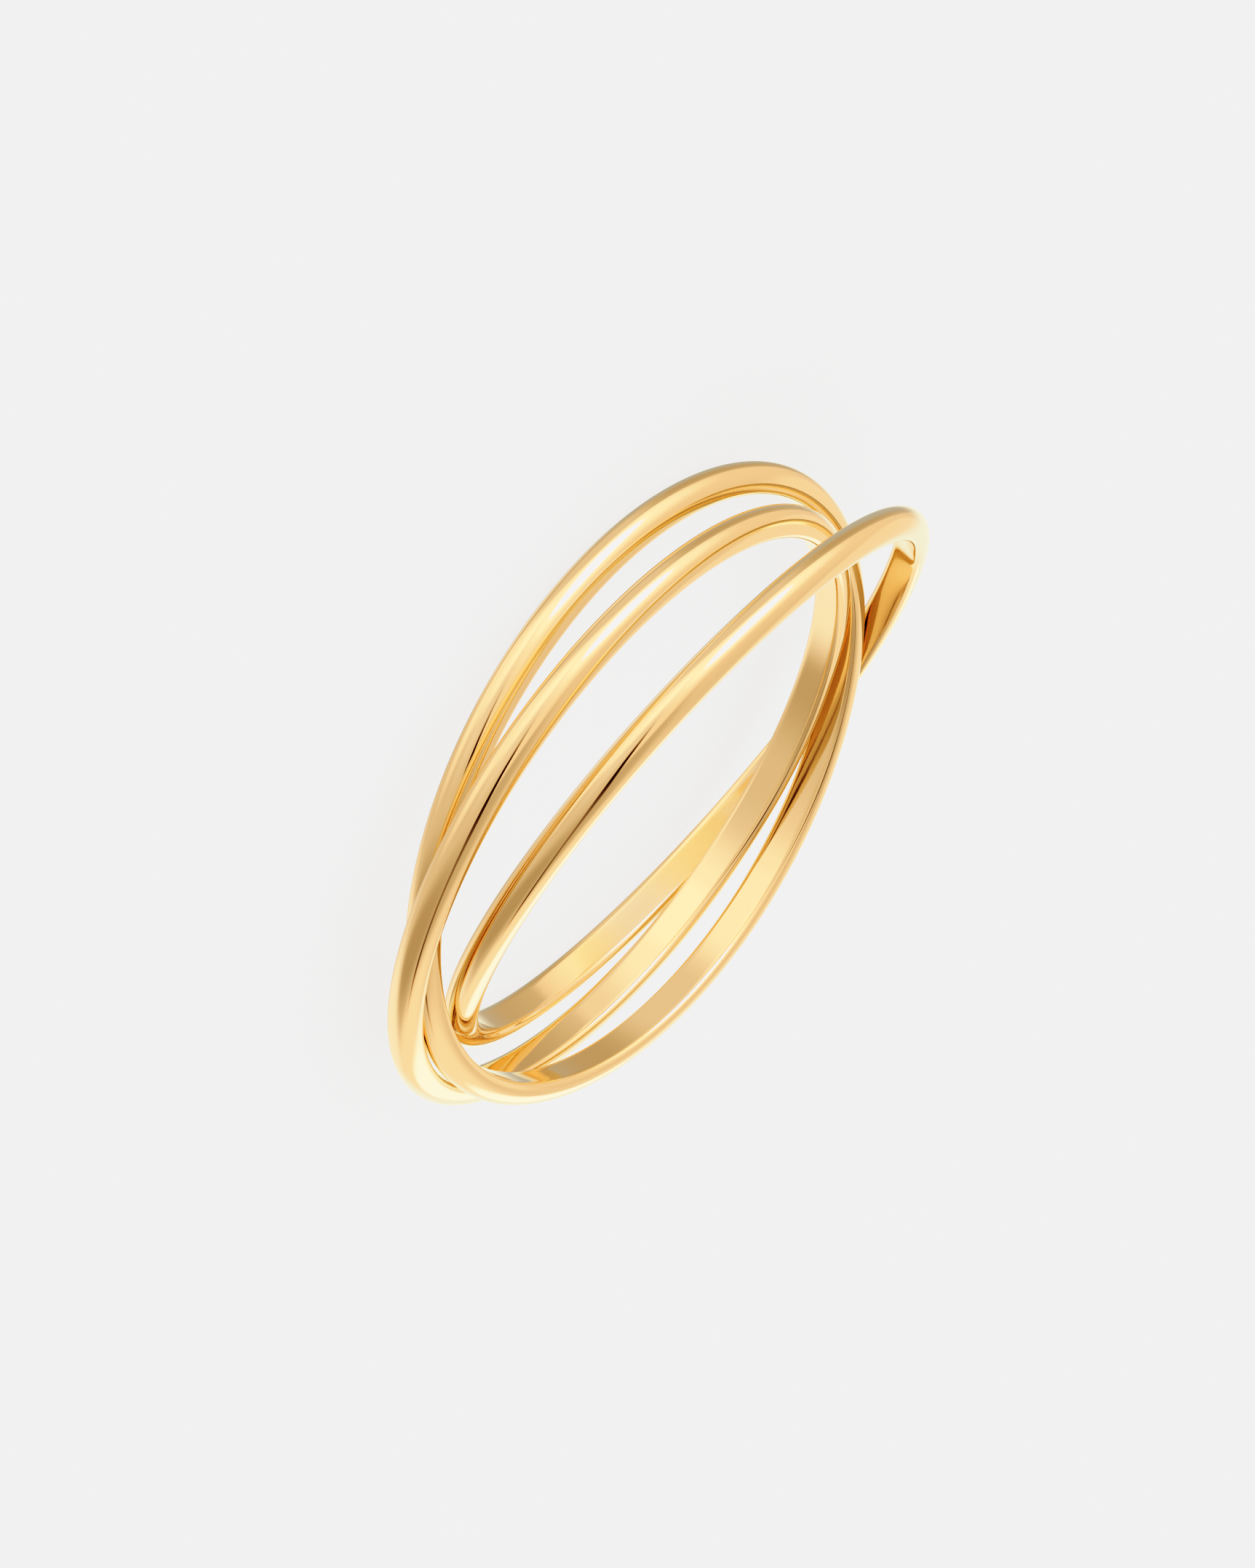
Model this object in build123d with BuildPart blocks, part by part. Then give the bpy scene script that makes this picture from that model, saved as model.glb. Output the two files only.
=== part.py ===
"""Wrap ring: three plain bands of one size, each linked through the other two.

The ring lies on its side on a flat surface, with the three bands fanned apart. They are named in
the order in which they stack at the front. At the back the order is the other way round, because
the bands cross on a line through the middle of the ring, which runs along X.
"""

from build123d import *
import os
from math import asin, cos, degrees, radians, sin, sqrt

# One band, in millimetres
BORE = 18.4
WIDTH = 1.03
THICKNESS = 0.84
INSIDE_EDGE_ROUND = 0.19

# Open height between two neighbours of the fan, at its front and at its back
FRONT_GAP_LOWER_TO_MIDDLE = 0.81
FRONT_GAP_MIDDLE_TO_UPPER = 1.67
BACK_GAP_MIDDLE_TO_LOWER = 0.52
BACK_GAP_UPPER_TO_MIDDLE = 0.13

# Room left where one band passes through another
LINK_PLAY = 0.05

# How far round from the crossing two bands can meet, in degrees, and how exactly the lean is found
CROSSING_REACH = 80
LEAN_ACCURACY = 1e-9

INSIDE_RADIUS = BORE / 2
MID_RADIUS = INSIDE_RADIUS + THICKNESS / 2
SHOULDER_RADIUS = INSIDE_RADIUS + INSIDE_EDGE_ROUND
DOME_HEIGHT = THICKNESS - INSIDE_EDGE_ROUND
HALF_WIDTH = WIDTH / 2
HALF_FLAT = HALF_WIDTH - INSIDE_EDGE_ROUND


def nesting_depth(height):
    """Radial room that a crossing band takes up when its mid line is this far above or below."""
    past_flat = max(0.0, abs(height) - HALF_FLAT)
    if past_flat >= HALF_WIDTH:
        return 0.0
    return INSIDE_EDGE_ROUND + DOME_HEIGHT * sqrt(1 - (past_flat / HALF_WIDTH) ** 2)


def crossing_shift(tilt, rise):
    """Sideways shift that lets a tilted band pass outside the lower band and inside it again."""
    shift = 0.0
    for degree in range(-CROSSING_REACH, CROSSING_REACH + 1):
        around = radians(degree)
        depth = nesting_depth(rise + MID_RADIUS * sin(around) * sin(tilt))
        if depth > 0:
            flattening = MID_RADIUS * (1 - cos(tilt)) * sin(around) ** 2
            shift = max(shift, (depth + LINK_PLAY + flattening) / cos(around))
    return shift


def reach(angle):
    """How far a band reaches from its centre along a line at this angle to its axis."""
    dome = sqrt((DOME_HEIGHT * sin(angle)) ** 2 + (HALF_WIDTH * cos(angle)) ** 2)
    return SHOULDER_RADIUS * sin(angle) + dome


def lean_to_floor(tilt, rise):
    """Lean at which the lower band's front and the upper band's back stand on one level."""
    least, most = 0.0, tilt
    while most - least > LEAN_ACCURACY:
        lean = (least + most) / 2
        upper_band_is_lower = reach(tilt - lean) - reach(lean) > rise * cos(lean)
        least, most = (lean, most) if upper_band_is_lower else (least, lean)
    return lean


def span(seats, direction):
    """Lowest and highest place of all the bands along a direction."""
    middles = [seat.origin.dot(direction) for seat in seats]
    halves = [reach(radians(seat.z_dir.get_angle(direction))) for seat in seats]
    lowest = min(middle - half for middle, half in zip(middles, halves))
    highest = max(middle + half for middle, half in zip(middles, halves))
    return lowest, highest


# The fan, with the lower band flat: each band's height at the front and back, and its side
front_middle = WIDTH + FRONT_GAP_LOWER_TO_MIDDLE
front_upper = front_middle + WIDTH + FRONT_GAP_MIDDLE_TO_UPPER
back_middle = -(WIDTH + BACK_GAP_MIDDLE_TO_LOWER)
back_upper = back_middle - (WIDTH + BACK_GAP_UPPER_TO_MIDDLE)

middle_tilt = asin((front_middle - back_middle) / (2 * MID_RADIUS))
upper_tilt = asin((front_upper - back_upper) / (2 * MID_RADIUS))
middle_rise = (front_middle + back_middle) / 2
upper_rise = (front_upper + back_upper) / 2
middle_shift = crossing_shift(middle_tilt, middle_rise)
upper_shift = -crossing_shift(upper_tilt, upper_rise)

# The fan leans until two bands stand on the surface, and rocks along X until it balances there
lean = lean_to_floor(upper_tilt, upper_rise)
balance_height = reach(lean) + (middle_rise + upper_rise) / 3
rocking_radius = SHOULDER_RADIUS * (1 / sin(lean) + 1 / sin(upper_tilt - lean)) / 2
off_balance = upper_shift / 2 - (middle_shift + upper_shift) / 3
rock = -off_balance / (rocking_radius - balance_height)
stand = Location((0, 0, 0), (0, degrees(rock), 0)) * Location((0, 0, 0), (degrees(lean), 0, 0))

leaned_seats = [
    Plane(stand),
    Plane(stand * Location((middle_shift, 0, middle_rise), (-degrees(middle_tilt), 0, 0))),
    Plane(stand * Location((upper_shift, 0, upper_rise), (-degrees(upper_tilt), 0, 0))),
]
left, right = span(leaned_seats, Vector(1, 0, 0))
front, back = span(leaned_seats, Vector(0, 1, 0))
floor, top = span(leaned_seats, Vector(0, 0, 1))
to_origin = Vector(-(left + right) / 2, -(front + back) / 2, -floor)

os.makedirs("parts", exist_ok=True)
for name, leaned in zip(("lower_band", "middle_band", "upper_band"), leaned_seats):
    centre = leaned.origin + to_origin
    with BuildPart() as band:
        # The section has X outwards from the band's axis and Y along that axis
        with BuildSketch(Plane(origin=centre, x_dir=leaned.x_dir, z_dir=-leaned.y_dir)):
            with BuildLine():
                dome = EllipticalCenterArc(
                    (SHOULDER_RADIUS, 0), DOME_HEIGHT, HALF_WIDTH, start_angle=-90, arc_size=180
                )
                upper_edge = TangentArc(dome @ 1, (INSIDE_RADIUS, HALF_FLAT), tangent=dome % 1)
                flat = Line(upper_edge @ 1, (INSIDE_RADIUS, -HALF_FLAT))
                TangentArc(flat @ 1, dome @ 0, tangent=flat % 1)
            make_face()
        revolve(axis=Axis(centre, leaned.z_dir))
    band.part.label = name
    export_step(band.part, f"parts/{name}.step")
    print(name, "has its centre at", centre, "and its axis along", leaned.z_dir)
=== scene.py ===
"""A wrap ring of three linked gold bands, lying fanned apart on a pale studio floor.

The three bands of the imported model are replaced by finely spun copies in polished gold. Each band
takes its place and its axis from the model's own node, and its section from the sizes below.
"""

import logging
import math
from dataclasses import dataclass, field, replace
from enum import Enum

import bmesh
import bpy
import numpy as np
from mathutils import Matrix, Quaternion, Vector


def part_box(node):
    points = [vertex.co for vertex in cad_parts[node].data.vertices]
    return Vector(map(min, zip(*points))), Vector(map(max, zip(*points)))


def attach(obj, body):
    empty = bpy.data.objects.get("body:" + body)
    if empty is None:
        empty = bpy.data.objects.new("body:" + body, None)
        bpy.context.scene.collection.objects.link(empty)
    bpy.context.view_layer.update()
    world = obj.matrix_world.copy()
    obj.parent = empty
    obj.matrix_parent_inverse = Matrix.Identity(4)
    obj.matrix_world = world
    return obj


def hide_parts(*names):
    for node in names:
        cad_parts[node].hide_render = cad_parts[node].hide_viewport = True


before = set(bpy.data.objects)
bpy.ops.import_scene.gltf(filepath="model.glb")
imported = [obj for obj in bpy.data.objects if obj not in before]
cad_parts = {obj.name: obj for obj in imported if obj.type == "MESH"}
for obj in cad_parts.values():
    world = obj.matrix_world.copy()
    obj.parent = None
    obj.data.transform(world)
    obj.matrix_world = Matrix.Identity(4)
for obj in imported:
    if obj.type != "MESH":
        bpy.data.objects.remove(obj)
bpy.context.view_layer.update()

MM = 0.001
MICRON = 0.001 * MM

log = logging.getLogger("wrap_ring")


def direction(azimuth: float, elevation: float) -> Vector:
    """Finds the unit vector towards a place round the ring.

    Args:
        azimuth: Degrees from the front of the fan (-Y) towards +X.
        elevation: Degrees above the floor.

    Returns:
        The direction, in the ring's own frame.
    """
    turn, rise = math.radians(azimuth), math.radians(elevation)
    return Vector((math.sin(turn) * math.cos(rise), -math.cos(turn) * math.cos(rise), math.sin(rise)))


class Channel(Enum):
    """The curves of a tone curve that can be bent."""

    ALL = 3


class LightTint(Enum):
    """The colours that the light round the ring has."""

    SHADE = (1.0, 0.79, 0.595)
    WALL = (1.0, 0.75, 0.545)
    WARM = (1.0, 0.71, 0.5)
    AMBER = (1.0, 0.4, 0.17)
    GREY = (1.0, 0.91, 0.73)
    COOL_GREY = (1.0, 0.97, 0.88)
    PAPER = (1.0, 0.99, 0.8)
    PAPER_WHITE = (0.72, 0.84, 1.09)


class Socket(Enum):
    """The kinds of number that a node group takes in and puts out."""

    NUMBER = "NodeSocketFloat"
    VECTOR = "NodeSocketVector"


@dataclass(frozen=True)
class BandSeat:
    """Where a band lies: its centre and the axis that it is round about."""

    centre: Vector
    axis: Vector

    @property
    def turn(self) -> Quaternion:
        """The turn that brings a band spun about Z onto its axis."""
        return self.axis.to_track_quat("Z", "X")

    @classmethod
    def of_node(cls, node: str) -> "BandSeat":
        """Reads a band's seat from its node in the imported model.

        Args:
            node: The node's name.

        Returns:
            The middle of the node's box, and the direction in which its surface spreads least.
        """
        low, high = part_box(node)
        centre = (low + high) / 2
        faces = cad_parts[node].data.polygons
        middles = np.array([face.center for face in faces]) - np.array(centre)
        areas = np.array([face.area for face in faces])
        spreads, axes = np.linalg.eigh((middles * areas[:, None]).T @ middles)
        thinnest = Vector(axes[:, int(np.argmin(spreads))])
        return cls(centre, thinnest if thinnest.z > 0 else -thinnest)


@dataclass
class ShaderSheet:
    """A node tree that is written from left to right, with a new column for each effect."""

    tree: bpy.types.NodeTree
    column: int = 0
    row: int = 0
    column_width: int = 220
    row_height: int = 180

    def add(self, kind: str, **settings: object) -> bpy.types.Node:
        """Adds a node below the last one.

        Args:
            kind: The node's type.
            settings: Properties of the node and their values.

        Returns:
            The new node.
        """
        node = self.tree.nodes.new(kind)
        node.location = (self.column * self.column_width, -self.row * self.row_height)
        self.row += 1
        for name, value in settings.items():
            setattr(node, name, value)
        return node

    def next_column(self) -> None:
        """Starts a new column to the right."""
        self.column, self.row = self.column + 1, 0

    def join(self, source: bpy.types.NodeSocket, target: bpy.types.NodeSocket) -> None:
        """Links an output to an input."""
        self.tree.links.new(source, target)

    def feed(self, target: bpy.types.NodeSocket, value: object) -> None:
        """Links an input to a socket, or sets it where the value is plain."""
        if isinstance(value, bpy.types.NodeSocket):
            self.join(value, target)
        else:
            target.default_value = value

    def maths(self, operation: str, first: object, second: object = 0.0) -> bpy.types.NodeSocket:
        """Works out one number from two.

        Args:
            operation: The Math node's operation.
            first: A socket or a number.
            second: A socket or a number.

        Returns:
            The socket that holds the result.
        """
        node = self.add("ShaderNodeMath", operation=operation)
        self.feed(node.inputs[0], first)
        self.feed(node.inputs[1], second)
        return node.outputs["Value"]

    def dot(self, first: object, second: object) -> bpy.types.NodeSocket:
        """Works out how far one vector reaches along another.

        Args:
            first: A socket or a vector.
            second: A socket or a vector.

        Returns:
            The socket that holds the dot product.
        """
        node = self.add("ShaderNodeVectorMath", operation="DOT_PRODUCT")
        self.feed(node.inputs[0], first)
        self.feed(node.inputs[1], second)
        return node.outputs["Value"]

    def mix_colours(
        self, share: object, first: object, second: object, label: str
    ) -> bpy.types.NodeSocket:
        """Mixes two colours.

        Args:
            share: How much of the second colour shows, as a socket or a number.
            first: A socket or a colour.
            second: A socket or a colour.
            label: What the mix is for.

        Returns:
            The socket that holds the mixed colour.
        """
        node = self.add("ShaderNodeMix", data_type="RGBA", clamp_factor=True, label=label)
        by_kind = {(socket.name, socket.type): socket for socket in node.inputs}
        self.feed(by_kind["Factor", "VALUE"], share)
        self.feed(by_kind["A", "RGBA"], first)
        self.feed(by_kind["B", "RGBA"], second)
        return next(socket for socket in node.outputs if socket.type == "RGBA")

    def noise(self, place: bpy.types.NodeSocket, scale: float, detail: float) -> bpy.types.NodeSocket:
        """Adds a cloudy pattern.

        Args:
            place: Where the pattern is read.
            scale: Clouds in a metre.
            detail: How many finer layers it has.

        Returns:
            The socket that holds the pattern, from 0 to 1.
        """
        node = self.add("ShaderNodeTexNoise")
        self.join(place, node.inputs["Vector"])
        node.inputs["Scale"].default_value = scale
        node.inputs["Detail"].default_value = detail
        return node.outputs["Fac"]

    def smooth_range(
        self, value: object, low: float, high: float, start: float, end: float
    ) -> bpy.types.NodeSocket:
        """Turns one range of numbers smoothly into another.

        Args:
            value: A socket or a number.
            low: The value that becomes start.
            high: The value that becomes end.
            start: The result at low.
            end: The result at high.

        Returns:
            The socket that holds the result.
        """
        node = self.add("ShaderNodeMapRange", interpolation_type="SMOOTHSTEP")
        for name, number in (
            ("Value", value), ("From Min", low), ("From Max", high), ("To Min", start), ("To Max", end),
        ):
            self.feed(node.inputs[name], number)
        return node.outputs["Result"]


@dataclass
class Band:
    """One band: half-elliptic outside, flat inside, with rounded inside edges. Sizes in metres."""

    name: str
    node: str
    body: str
    bore: float = 18.4 * MM
    width: float = 1.03 * MM
    thickness: float = 0.84 * MM
    inside_edge_round: float = 0.19 * MM
    # Whether the inside takes the worn place: rougher there, with a painted reflection tint in its colour.
    worn_and_tinted: bool = False
    section_points: int = 88
    flat_cuts: int = 3
    steps_round: int = 720

    @property
    def shoulder_radius(self) -> float:
        """Radius at which the dome meets the rounded inside edges."""
        return self.bore / 2 + self.inside_edge_round

    @property
    def hair(self) -> float:
        """A length shorter than any step of the section, to tell its points apart."""
        return self.inside_edge_round / self.section_points

    def select(self, piece: bpy.types.Object, low: float, high: float, side: int = 0) -> None:
        """Selects the section's points by their place.

        Args:
            piece: The section, in edit mode.
            low: Least distance outwards from the shoulder.
            high: Greatest distance outwards from the shoulder.
            side: 1 for the points above the section's middle, -1 below it, 0 for both.
        """
        mesh = bmesh.from_edit_mesh(piece.data)
        for point in mesh.verts:
            outwards = point.co.x - self.shoulder_radius
            on_side = side == 0 or point.co.z * side > self.hair
            point.select_set(low - self.hair < outwards < high + self.hair and on_side)
        mesh.select_flush_mode()
        bmesh.update_edit_mesh(piece.data)

    def shape_section(self, piece: bpy.types.Object) -> None:
        """Turns a circle of the rounded edges' radius into the band's section."""
        edge, half_width = self.inside_edge_round, self.width / 2
        shoulder = (self.shoulder_radius, 0, 0)
        dome_height = self.thickness - edge
        self.select(piece, 2 * self.hair, edge)
        bpy.ops.transform.resize(
            value=(dome_height / edge, 1, half_width / edge), center_override=shoulder
        )
        for side in (1, -1):
            self.select(piece, -edge, 0, side)
            bpy.ops.transform.translate(value=(0, 0, side * (half_width - edge)))
        self.select(piece, -edge, -edge)
        bpy.ops.mesh.subdivide(number_cuts=self.flat_cuts)

    def spin_round(self) -> None:
        """Spins the selected section through a quarter turn, and copies the quarter round."""
        axis = {"center": (0, 0, 0), "axis": (0, 0, 1)}
        bpy.ops.mesh.select_all(action="SELECT")
        bpy.ops.mesh.spin(steps=self.steps_round // 4, angle=math.pi / 2, **axis)
        for turn in (math.pi / 2, math.pi):
            bpy.ops.mesh.select_all(action="SELECT")
            bpy.ops.mesh.duplicate()
            bpy.ops.transform.rotate(value=turn, orient_axis="Z", center_override=axis["center"])
        bpy.ops.mesh.select_all(action="SELECT")
        bpy.ops.mesh.remove_doubles(threshold=self.hair / 2)
        bpy.ops.mesh.normals_make_consistent(inside=False)

    def build(self, seat: BandSeat) -> bpy.types.Object:
        """Spins the section into a band and lays it in its seat.

        Args:
            seat: The band's centre and axis.

        Returns:
            The finished piece, riding on its body in place of its node.
        """
        bpy.ops.object.select_all(action="DESELECT")
        bpy.ops.mesh.primitive_circle_add(
            vertices=self.section_points, radius=self.inside_edge_round,
            location=(self.shoulder_radius, 0, 0), rotation=(math.pi / 2, 0, 0),
        )
        piece = bpy.context.object
        piece.name = piece.data.name = self.name
        bpy.ops.object.transform_apply(location=True, rotation=True, scale=True)
        bpy.ops.object.mode_set(mode="EDIT")
        self.shape_section(piece)
        self.spin_round()
        bpy.ops.object.mode_set(mode="OBJECT")
        piece.location = seat.centre
        piece.rotation_mode = "QUATERNION"
        piece.rotation_quaternion = seat.turn
        bpy.ops.object.transform_apply(location=True, rotation=True, scale=True)
        bpy.ops.object.shade_smooth()
        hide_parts(self.node)
        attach(piece, self.body)
        return piece

    def mark_inside(self, piece: bpy.types.Object, seat: BandSeat) -> None:
        """Gives the band's flat inside its second material.

        Args:
            piece: The band, with both materials on it.
            seat: Its centre and axis.
        """
        for face in piece.data.polygons:
            reach = (face.center - seat.centre).cross(seat.axis).length
            if reach < self.bore / 2 + self.hair:
                face.material_index = 1


@dataclass(frozen=True)
class PolishingMarks:
    """What the polishing mops leave on gold: broad ripples, fine lines round the band, and haze."""

    group_name: str = "polishing_marks"
    ripple_size: float = 2.2 * MM
    ripple_detail: float = 1
    line_length: float = 2.5 * MM
    line_width: float = 0.035 * MM
    line_detail: float = 2
    haze_size: float = 1.3 * MM
    haze_detail: float = 3
    haze_starts: float = 0.4
    haze_full: float = 0.65

    def group(self) -> bpy.types.NodeTree:
        """Makes the node group, or finds it again.

        Returns:
            The group: a place in the band's own frame goes in, a height and the haze come out.
        """
        if self.group_name in bpy.data.node_groups:
            return bpy.data.node_groups[self.group_name]
        tree = bpy.data.node_groups.new(self.group_name, "ShaderNodeTree")
        for name, kind in (
            ("Place", Socket.VECTOR), ("Ripple Depth", Socket.NUMBER), ("Line Depth", Socket.NUMBER),
            ("Clean Roughness", Socket.NUMBER), ("Hazy Roughness", Socket.NUMBER),
        ):
            tree.interface.new_socket(name, in_out="INPUT", socket_type=kind.value)
        for name in ("Height", "Roughness"):
            tree.interface.new_socket(name, in_out="OUTPUT", socket_type=Socket.NUMBER.value)
        sheet = ShaderSheet(tree)
        given = sheet.add("NodeGroupInput").outputs
        sheet.next_column()
        ripple = sheet.noise(given["Place"], 1 / self.ripple_size, self.ripple_detail)
        haze = sheet.noise(given["Place"], 1 / self.haze_size, self.haze_detail)
        lines = self.lines(sheet, given["Place"])
        sheet.next_column()
        height = sheet.maths(
            "ADD", sheet.maths("MULTIPLY", ripple, given["Ripple Depth"]),
            sheet.maths("MULTIPLY", lines, given["Line Depth"]),
        )
        hazy = sheet.smooth_range(haze, self.haze_starts, self.haze_full, 0, 1)
        spread = sheet.maths("SUBTRACT", given["Hazy Roughness"], given["Clean Roughness"])
        roughness = sheet.maths("ADD", given["Clean Roughness"], sheet.maths("MULTIPLY", hazy, spread))
        sheet.next_column()
        result = sheet.add("NodeGroupOutput").inputs
        sheet.join(height, result["Height"])
        sheet.join(roughness, result["Roughness"])
        return tree

    def lines(self, sheet: ShaderSheet, place: bpy.types.NodeSocket) -> bpy.types.NodeSocket:
        """Draws fine lines that run round the band.

        Args:
            sheet: The group's node tree.
            place: The place in the band's own frame, with its axis along Z.

        Returns:
            The socket that holds the lines' height, from 0 to 1.
        """
        flat = sheet.add("ShaderNodeVectorMath", operation="MULTIPLY")
        sheet.join(place, flat.inputs[0])
        flat.inputs[1].default_value = (1, 1, 0)
        outwards = sheet.add("ShaderNodeVectorMath", operation="LENGTH")
        sheet.join(flat.outputs["Vector"], outwards.inputs[0])
        stretched = sheet.add("ShaderNodeVectorMath", operation="MULTIPLY")
        sheet.join(place, stretched.inputs[0])
        lines_along, lines_across = 1 / self.line_length, 1 / self.line_width
        stretched.inputs[1].default_value = (lines_along, lines_along, lines_across)
        across = sheet.maths("MULTIPLY", outwards.outputs["Value"], lines_across)
        noise = sheet.add("ShaderNodeTexNoise", noise_dimensions="4D")
        sheet.join(stretched.outputs["Vector"], noise.inputs["Vector"])
        sheet.join(across, noise.inputs["W"])
        noise.inputs["Scale"].default_value = 1
        noise.inputs["Detail"].default_value = self.line_detail
        return noise.outputs["Fac"]


@dataclass(frozen=True)
class WornPlaceWithPaintedTint:
    """A place where wear dulls the gold, and where a painted reflection tint makes its colour less blue,
    so the white light mirrored there shows cream. Lengths in metres.
    """

    centre: tuple[float, float, float]
    reach: float
    roughness: float
    # colour: the painted reflection tint, a warmer gold that turns the mirrored white light cream
    colour: tuple[float, float, float]


@dataclass(frozen=True)
class Finish:
    """How far a surface of the gold is polished, and any worn place with a painted reflection tint. Depths
    in metres.
    """

    name: str
    clean_roughness: float
    hazy_roughness: float
    ripple_depth: float
    line_depth: float
    worn_and_tinted: WornPlaceWithPaintedTint | None = None


@dataclass(frozen=True)
class PolishedGold:
    """Nine carat yellow gold: mirror polished outside, a little less so inside the bands."""

    colour: tuple[float, float, float] = (0.93, 0.78, 0.58)
    marks: PolishingMarks = PolishingMarks()
    outside: Finish = Finish(
        "mirror", clean_roughness=0.035, hazy_roughness=0.07,
        ripple_depth=4 * MICRON, line_depth=0.2 * MICRON,
    )
    inside: Finish = Finish(
        "inside", clean_roughness=0.055, hazy_roughness=0.09,
        ripple_depth=3 * MICRON, line_depth=0.4 * MICRON,
    )
    # The upper band's inside: rougher in one place, and there painted with a warmer tint that stands in
    # for a cream reflection of the main light.
    worn_and_tinted_inside: Finish = replace(inside, name="worn_and_tinted_inside", worn_and_tinted=WornPlaceWithPaintedTint(
        centre=(-2.6 * MM, 8.7 * MM, 1.0 * MM), reach=4.4 * MM,
        roughness=0.30, colour=(0.95, 0.79, 0.50),
    ))
    roughness_in_reflections: float = 0.12
    columns_before_surface: int = 6

    def material(self, name: str, finish: Finish, seat: BandSeat) -> bpy.types.Material:
        """Makes the gold's material for one band.

        Args:
            name: The material's name.
            finish: How far it is polished.
            seat: The band's centre and axis, which the polishing lines run round.

        Returns:
            The material.
        """
        material = bpy.data.materials.new(name)
        material.use_nodes = True
        surface = material.node_tree.nodes["Principled BSDF"].inputs
        surface["Base Color"].default_value = (*self.colour, 1)
        surface["Metallic"].default_value = 1
        sheet = ShaderSheet(material.node_tree, column=-self.columns_before_surface)
        place = sheet.add("ShaderNodeTexCoord").outputs["Object"]
        mirrored = sheet.add("ShaderNodeLightPath").outputs["Is Glossy Ray"]
        sheet.next_column()
        marks = self.marked(sheet, place, finish, seat)
        sheet.next_column()
        in_reflections = sheet.maths("MULTIPLY", mirrored, self.roughness_in_reflections)
        roughness = sheet.maths("MAXIMUM", marks["Roughness"], in_reflections)
        if finish.worn_and_tinted:
            wear_and_painted_tint = self.wear_and_painted_tint(sheet, place, finish.worn_and_tinted)
            dulled = sheet.maths("MULTIPLY", wear_and_painted_tint, finish.worn_and_tinted.roughness)
            roughness = sheet.maths("MAXIMUM", roughness, dulled)
            # Painted reflection tint: the gold's colour turns warmer where it is worn, so the mirrored
            # white light shows cream.
            plain_colour, painted_tint_colour = (*self.colour, 1), (*finish.worn_and_tinted.colour, 1)
            colour = sheet.mix_colours(wear_and_painted_tint, plain_colour, painted_tint_colour, "painted reflection tint where it is worn")
            sheet.join(colour, surface["Base Color"])
        sheet.join(roughness, surface["Roughness"])
        bump = sheet.add("ShaderNodeBump")
        bump.inputs["Distance"].default_value = 1
        sheet.join(marks["Height"], bump.inputs["Height"])
        sheet.join(bump.outputs["Normal"], surface["Normal"])
        return material

    def marked(
        self, sheet: ShaderSheet, place: bpy.types.NodeSocket, finish: Finish, seat: BandSeat
    ) -> bpy.types.NodeOutputs:
        """Lays the polishing marks round the band.

        Args:
            sheet: The material's node tree.
            place: The place on the ring.
            finish: How far the surface is polished.
            seat: The band's centre and axis.

        Returns:
            The outputs that hold the marks' height and roughness.
        """
        own_frame = sheet.add("ShaderNodeMapping", vector_type="TEXTURE")
        sheet.join(place, own_frame.inputs["Vector"])
        own_frame.inputs["Location"].default_value = seat.centre
        own_frame.inputs["Rotation"].default_value = seat.turn.to_euler()
        sheet.next_column()
        marks = sheet.add("ShaderNodeGroup", node_tree=self.marks.group())
        sheet.join(own_frame.outputs["Vector"], marks.inputs["Place"])
        for socket, value in (
            ("Ripple Depth", finish.ripple_depth), ("Line Depth", finish.line_depth),
            ("Clean Roughness", finish.clean_roughness), ("Hazy Roughness", finish.hazy_roughness),
        ):
            marks.inputs[socket].default_value = value
        return marks.outputs

    def wear_and_painted_tint(
        self, sheet: ShaderSheet, place: bpy.types.NodeSocket, worn_and_tinted: WornPlaceWithPaintedTint
    ) -> bpy.types.NodeSocket:
        """Works out how far the gold is worn, which also sets how far the painted reflection tint shows.

        Args:
            sheet: The material's node tree.
            place: The place on the ring.
            worn_and_tinted: Where it is worn and painted with the warmer tint.

        Returns:
            The socket that holds 1 in the middle of the worn place and 0 away from it.
        """
        away = sheet.add("ShaderNodeVectorMath", operation="DISTANCE")
        sheet.join(place, away.inputs[0])
        away.inputs[1].default_value = worn_and_tinted.centre
        return sheet.smooth_range(away.outputs["Value"], worn_and_tinted.reach / 2, worn_and_tinted.reach, 1, 0)


@dataclass(frozen=True)
class Softbox:
    """A patch of the surroundings that the gold mirrors.

    Its place and size are in degrees. Its softness is the share of its size over which it fades,
    both inwards and outwards.
    """

    name: str
    azimuth: float
    elevation: float
    half_width: float
    half_height: float
    softness: float
    light: float
    tint: LightTint

    def colour(self) -> tuple[float, float, float, float]:
        """The softbox's light as a colour."""
        return tuple(self.light * part for part in self.tint.value) + (1.0,)


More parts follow.
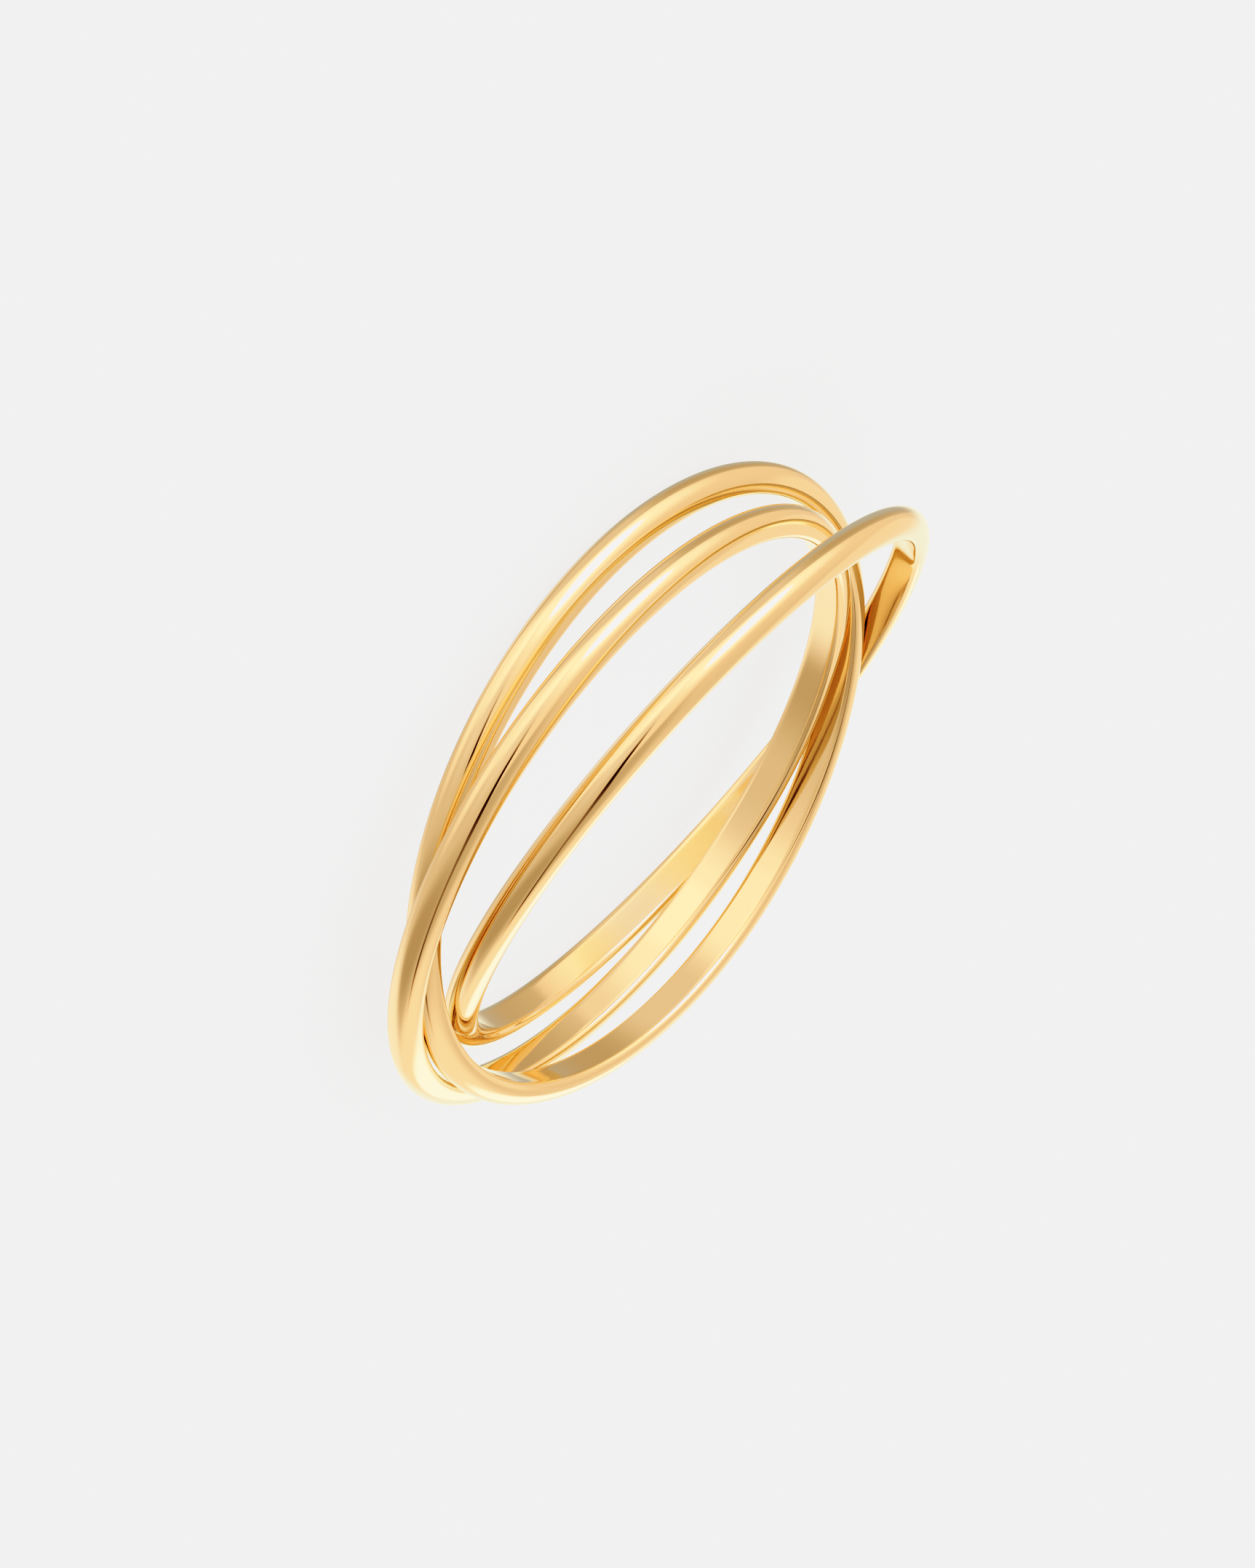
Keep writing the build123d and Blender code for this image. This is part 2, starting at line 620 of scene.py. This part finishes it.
@dataclass
class Studio:
    """The floor, the soft light that the gold mirrors, and the tone of the picture."""

    plain_light: float = 0.625
    floor_tone: float = 0.2
    floor_size: float = 6.0
    tone: tuple[tuple[float, float], ...] = (
        (0.06, 0.015), (0.1, 0.06), (0.2, 0.255), (0.3, 0.453), (0.4, 0.618), (0.5, 0.761), (0.6, 0.862),
        (0.7, 0.924), (0.8, 0.961),
    )
    surroundings: Softbox = Softbox("surroundings", 0, 0, 180, 90, 0, 0.58, LightTint.WALL)
    softboxes: tuple[Softbox, ...] = (
        Softbox("shade above the arch", 95, 74, 46, 18, 0.5, 0.42, LightTint.SHADE),
        Softbox("warm wall", -45, 15, 62, 60, 0.5, 0.70, LightTint.WARM),
        Softbox("light along the arch", 30, 48, 22, 18, 0.5, 0.76, LightTint.WARM),
        Softbox("shade behind the arch", 155, 46, 20, 18, 0.6, 0.42, LightTint.SHADE),
        Softbox("rim of the arch", 97, -4, 77, 69, 0.01, 0.05, LightTint.AMBER),
        Softbox("arch", 99, -4, 73, 58, 0.015, 0.52, LightTint.SHADE),
        Softbox("shade in the arch", 112, 14, 28, 46, 0.6, 0.34, LightTint.SHADE),
        Softbox("bright side of the arch", 34, 0, 24, 30, 0.6, 0.64, LightTint.SHADE),
        Softbox("floor in front", 70, -72, 90, 25, 0.3, 0.52, LightTint.SHADE),
        Softbox("low front", 12, -60, 38, 30, 0.4, 0.90, LightTint.WARM),
        Softbox("light on the right", 163, -26, 28, 30, 0.4, 0.82, LightTint.SHADE),
        Softbox("light behind", -128, 19, 22, 19, 0.2, 0.76, LightTint.WARM),
        Softbox("back light", 179, 22, 23, 30, 0.4, 0.82, LightTint.WARM),
        Softbox("core of the back light", -162, 16, 14, 11, 0.3, 0.98, LightTint.GREY),
        Softbox("glow round the main light", -24, 16, 40, 40, 0.4, 1.0, LightTint.WARM),
        Softbox("glow round the low light", 12, -24, 27, 26, 0.4, 1.0, LightTint.WARM),
        Softbox("low light", 13, -18, 12, 13, 0.3, 1.1, LightTint.WARM),
        Softbox("main light", -18, 15, 27, 30, 0.2, 1.1, LightTint.WARM),
        Softbox("core of the main light", -20, 18, 21, 22, 0.08, 1.0, LightTint.PAPER_WHITE),
        Softbox("grey corner", -90, -44, 50, 40, 0.04, 0.46, LightTint.SHADE),
        Softbox("light beside the corner", -34, -44, 21, 28, 0.45, 0.57, LightTint.SHADE),
        Softbox("deep of the corner", -92, -27, 32, 18, 0.5, 0.37, LightTint.SHADE),
        Softbox("grey end of the corner", -119, -40, 23, 24, 0.5, 0.34, LightTint.COOL_GREY),
        Softbox("paper behind the ring", -152, -12, 28, 20, 0.3, 0.70, LightTint.PAPER),
        Softbox("low back light", -136, -58, 9, 12, 0.5, 0.74, LightTint.SHADE),
    )

    def floor(self) -> bpy.types.Object:
        """Lays the pale floor, a table lit from below, which takes hardly any shadow.

        Returns:
            The floor, which the gold doesn't mirror.
        """
        bpy.ops.object.select_all(action="DESELECT")
        bpy.ops.mesh.primitive_plane_add(size=self.floor_size)
        floor = bpy.context.object
        floor.name = "floor"
        material = bpy.data.materials.new("pale_floor")
        material.use_nodes = True
        surface = material.node_tree.nodes["Principled BSDF"].inputs
        surface["Base Color"].default_value = (self.floor_tone,) * 3 + (1,)
        surface["Roughness"].default_value = 1
        surface["Specular IOR Level"].default_value = 0
        surface["Emission Color"].default_value = (1, 1, 1, 1)
        surface["Emission Strength"].default_value = self.plain_light * (1 - self.floor_tone)
        floor.data.materials.append(material)
        floor.visible_glossy = False
        return floor

    def softbox_mask(
        self, sheet: ShaderSheet, towards: bpy.types.NodeSocket, box: Softbox
    ) -> bpy.types.NodeSocket:
        """Works out how fully a direction looks into a softbox.

        Args:
            sheet: The world's node tree.
            towards: The direction looked in.
            box: The softbox.

        Returns:
            The socket that holds 1 inside the softbox and 0 outside it.
        """
        middle = direction(box.azimuth, box.elevation)
        right = direction(box.azimuth + 90, 0)
        up = right.cross(-middle)
        across = sheet.maths("ARCTAN2", sheet.dot(towards, right), sheet.dot(towards, middle))
        along = sheet.maths("ARCSINE", sheet.dot(towards, up))
        across_share = sheet.maths("DIVIDE", across, math.radians(box.half_width))
        along_share = sheet.maths("DIVIDE", along, math.radians(box.half_height))
        squares = sheet.maths(
            "ADD", sheet.maths("MULTIPLY", across_share, across_share),
            sheet.maths("MULTIPLY", along_share, along_share),
        )
        away = sheet.maths("SQRT", squares)
        return sheet.smooth_range(away, 1 - box.softness, 1 + box.softness, 1.0, 0.0)

    def light(self) -> bpy.types.World:
        """Lights the studio: plain light on the floor, softboxes in the gold.

        Returns:
            The world that holds the light.
        """
        world = bpy.data.worlds.new("studio")
        world.use_nodes = True
        world.cycles.sampling_method = "NONE"
        bpy.context.scene.world = world
        sheet = ShaderSheet(world.node_tree)
        background = world.node_tree.nodes["Background"]
        towards = sheet.add("ShaderNodeTexCoord").outputs["Generated"]
        seen: object = self.surroundings.colour()
        for box in self.softboxes:
            sheet.next_column()
            mask = self.softbox_mask(sheet, towards, box)
            seen = sheet.mix_colours(mask, seen, box.colour(), box.name)
        sheet.next_column()
        path = sheet.add("ShaderNodeLightPath")
        glossy, diffuse = path.outputs["Is Glossy Ray"], path.outputs["Diffuse Depth"]
        first_mirror = sheet.maths("SUBTRACT", glossy, diffuse)
        plain = (self.plain_light,) * 3 + (1.0,)
        shown = sheet.mix_colours(first_mirror, plain, seen, "only the gold mirrors the softboxes")
        sheet.join(shown, background.inputs["Color"])
        return world

    def develop(self) -> None:
        """Sets the picture's tone: deep darks, and highlights that run softly into white."""
        settings = bpy.context.scene.view_settings
        settings.view_transform = "Standard"
        settings.use_curve_mapping = True
        tone = settings.curve_mapping
        curve = tone.curves[Channel.ALL.value]
        for light, shown in self.tone:
            curve.points.new(light, shown)
        tone.update()


@dataclass(frozen=True)
class PhotoCamera:
    """The camera, at the photograph's angle to the ring. Angles in degrees.

    The lens and the sensor are in millimetres, other lengths in metres. The clip range is how many
    times nearer and further than the ring it sees.
    """

    aim: tuple[float, float, float] = (0.4028 * MM, -0.2329 * MM, 1.7097 * MM)
    azimuth: float = 34.464
    elevation: float = 21.607
    roll: float = 123.196
    distance: float = 289.3 * MM
    lens: float = 233.77
    sensor: float = 36.0
    clip_range: float = 100.0

    def build(self) -> bpy.types.Object:
        """Sets the camera up.

        Returns:
            The scene's camera.
        """
        back = direction(self.azimuth, self.elevation)
        data = bpy.data.cameras.new("camera")
        data.lens, data.sensor_width = self.lens, self.sensor
        data.clip_start = self.distance / self.clip_range
        data.clip_end = self.distance * self.clip_range
        camera = bpy.data.objects.new("camera", data)
        bpy.context.scene.collection.objects.link(camera)
        camera.location = Vector(self.aim) + back * self.distance
        camera.rotation_mode = "QUATERNION"
        roll = Quaternion((0, 0, 1), math.radians(self.roll))
        camera.rotation_quaternion = (-back).to_track_quat("-Z", "Y") @ roll
        bpy.context.scene.camera = camera
        return camera


@dataclass
class WrapRing:
    """The three linked bands."""

    gold: PolishedGold = field(default_factory=PolishedGold)
    bands: tuple[Band, ...] = (
        Band("lower_gold_band", "lower_band", "lower_band"),
        Band("middle_gold_band", "middle_band", "middle_band"),
        Band("upper_gold_band", "upper_band", "upper_band", worn_and_tinted=True),
    )

    def build(self) -> None:
        """Builds the bands, dresses them and reports each."""
        for band in self.bands:
            seat = BandSeat.of_node(band.node)
            piece = band.build(seat)
            inside = self.gold.worn_and_tinted_inside if band.worn_and_tinted else self.gold.inside
            for finish in (self.gold.outside, inside):
                piece.data.materials.append(self.gold.material(f"{band.name}_{finish.name}", finish, seat))
            band.mark_inside(piece, seat)
            log.info("%s: %d faces, axis %s", piece.name, len(piece.data.polygons), tuple(seat.axis))


def main() -> None:
    """Builds the ring and its studio."""
    logging.basicConfig(level=logging.INFO, format="%(name)s: %(message)s")
    WrapRing().build()
    studio = Studio()
    studio.floor()
    studio.light()
    studio.develop()
    PhotoCamera().build()


if __name__ == "__main__":
    main()
